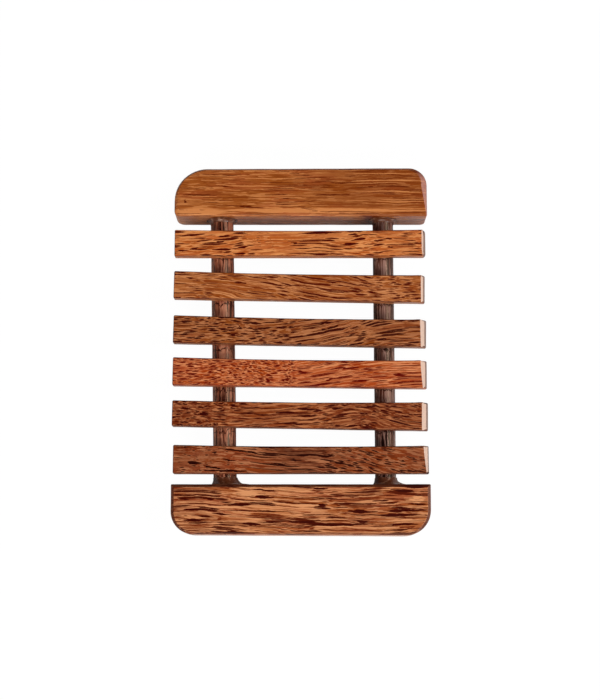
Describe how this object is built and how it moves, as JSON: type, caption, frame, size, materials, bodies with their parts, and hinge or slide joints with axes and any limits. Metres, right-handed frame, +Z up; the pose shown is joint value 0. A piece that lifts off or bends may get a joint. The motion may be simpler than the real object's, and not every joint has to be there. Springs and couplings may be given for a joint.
{
  "type": "slatted wooden soap dish",
  "caption": "Low wooden soap dish: slats glued across dowels between rounded end blocks, so that water drains and the soap dries.",
  "frame": {"origin": "on the surface that the dish stands on, under the middle of its bounding box", "axes": "+Y runs from the front block to the back block, +X to the right, +Z up"},
  "size_m": [0.0904, 0.131, 0.015],
  "materials": {
    "back_block_wood": "satin gloss lacquer over palm wood with dark fibre streaks",
    "front_block_wood": "satin gloss lacquer over palm wood with dark fibre streaks",
    "slat_1_wood": "satin gloss lacquer over palm wood with dark fibre streaks",
    "slat_2_wood": "satin gloss lacquer over palm wood with dark fibre streaks",
    "slat_3_wood": "satin gloss lacquer over palm wood with dark fibre streaks",
    "slat_4_wood": "satin gloss lacquer over palm wood with dark fibre streaks",
    "slat_5_wood": "satin gloss lacquer over palm wood with dark fibre streaks",
    "slat_6_wood": "satin gloss lacquer over palm wood with dark fibre streaks",
    "dowel_wood": "satin gloss lacquer over palm wood with dark fibre streaks",
    "cured_glue": "dark brown cured wood glue, smooth and slightly glossy"
  },
  "bodies": {
    "root": {"back_end_block": "back_block_wood", "front_end_block": "front_block_wood", "left_dowel": "dowel_wood", "right_dowel": "dowel_wood", "slat_1": "slat_1_wood", "slat_2": "slat_2_wood", "slat_3": "slat_3_wood", "slat_4": "slat_4_wood", "slat_5": "slat_5_wood", "slat_6": "slat_6_wood", "back_left_glue": "cured_glue", "back_right_glue": "cured_glue", "front_left_glue": "cured_glue", "front_right_glue": "cured_glue"}
  },
  "joints": []
}
